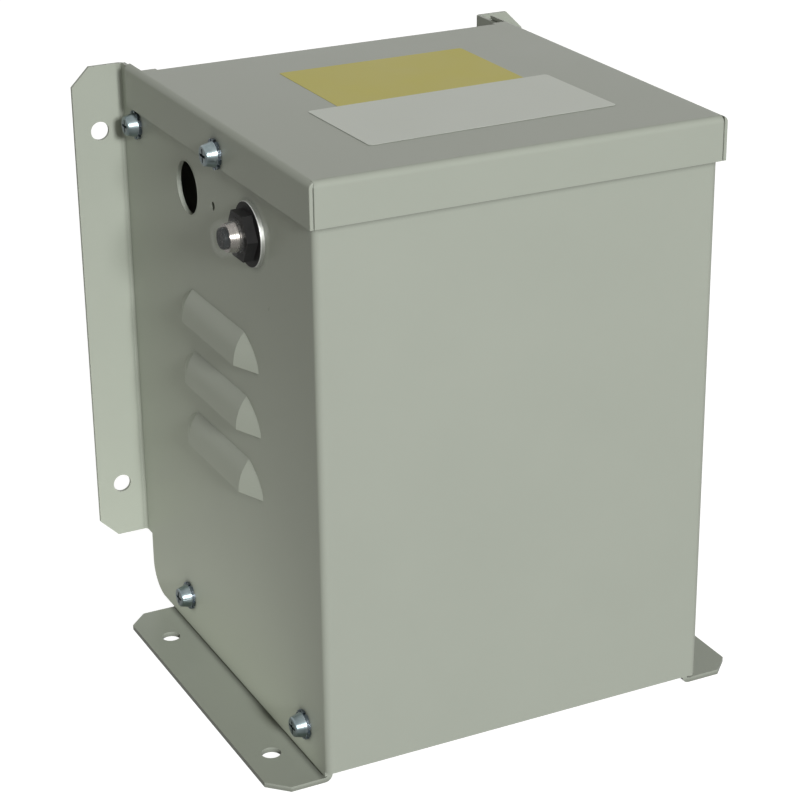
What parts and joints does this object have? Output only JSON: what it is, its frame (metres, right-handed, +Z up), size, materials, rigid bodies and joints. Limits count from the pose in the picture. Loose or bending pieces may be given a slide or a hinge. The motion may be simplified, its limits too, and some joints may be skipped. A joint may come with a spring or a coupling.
{
  "type": "site transformer",
  "caption": "Folded sheet steel case for a site transformer, with a screwed lid, side louvres, wall flanges, bolt-down feet, a cable entry hole and a push-to-reset breaker.",
  "frame": {"origin": "middle of the overall width and depth, on the plane of the foot undersides", "axes": "+X to the right seen from the front, +Y from the front to the wall flanges, +Z up"},
  "size_m": [0.201, 0.1838, 0.233],
  "materials": {
    "case_paint": "semi-gloss powder coat on sheet steel",
    "zinc_plate": "bright blue zinc plate",
    "dark_steel": "dark spring steel",
    "nickel": "bright nickel plate",
    "bezel_lacquer": "black lacquer with a bright turned edge",
    "black_plastic": "moulded satin",
    "button_plastic": "moulded gloss",
    "clear_silicone": "clear moulded silicone",
    "lamination": "varnished steel laminations",
    "copper": "enamelled copper wire",
    "insulation": "insulating tape",
    "bobbin_plastic": "glass filled nylon",
    "pale_plastic": "moulded polyamide",
    "brass": "plain brass"
  },
  "bodies": {
    "housing": {"back_nuts": "zinc_plate", "back_panel": "case_paint", "back_screws": "zinc_plate", "back_washers": "dark_steel", "base_nuts": "zinc_plate", "base_screws": "zinc_plate", "base_tray": "case_paint", "base_washers": "dark_steel", "block_bolts": "zinc_plate", "block_nuts": "zinc_plate", "bobbin": "bobbin_plastic", "breaker_bezel": "bezel_lacquer", "breaker_blades": "brass", "breaker_body": "black_plastic", "breaker_boot": "clear_silicone", "breaker_bush": "nickel", "breaker_ring_nut": "black_plastic", "case_wrap": "case_paint", "clamp_bolts": "zinc_plate", "clamp_nuts": "zinc_plate", "core_bolts": "zinc_plate", "core_nuts": "zinc_plate", "core_stack": "lamination", "earth_nuts": "brass", "earth_stud": "brass", "earth_washers": "brass", "lid": "case_paint", "lid_nuts": "zinc_plate", "lid_screws": "zinc_plate", "lid_washers": "dark_steel", "lower_clamps": "zinc_plate", "outer_tape": "insulation", "panel_foot_bolts": "zinc_plate", "panel_foot_nuts": "zinc_plate", "primary_winding": "copper", "secondary_winding": "copper", "terminal_block": "pale_plastic", "terminal_screws": "brass", "upper_clamps": "zinc_plate", "winding_barrier": "insulation"},
    "button": {"reset_button": "button_plastic"}
  },
  "joints": [
    {"name": "reset_push", "type": "slide", "parent": "housing", "child": "button", "axis": [1, 0, 0], "range_m": [0, 0.0025], "stiffness_N_per_m": 800, "springref_m": -0.002}
  ]
}
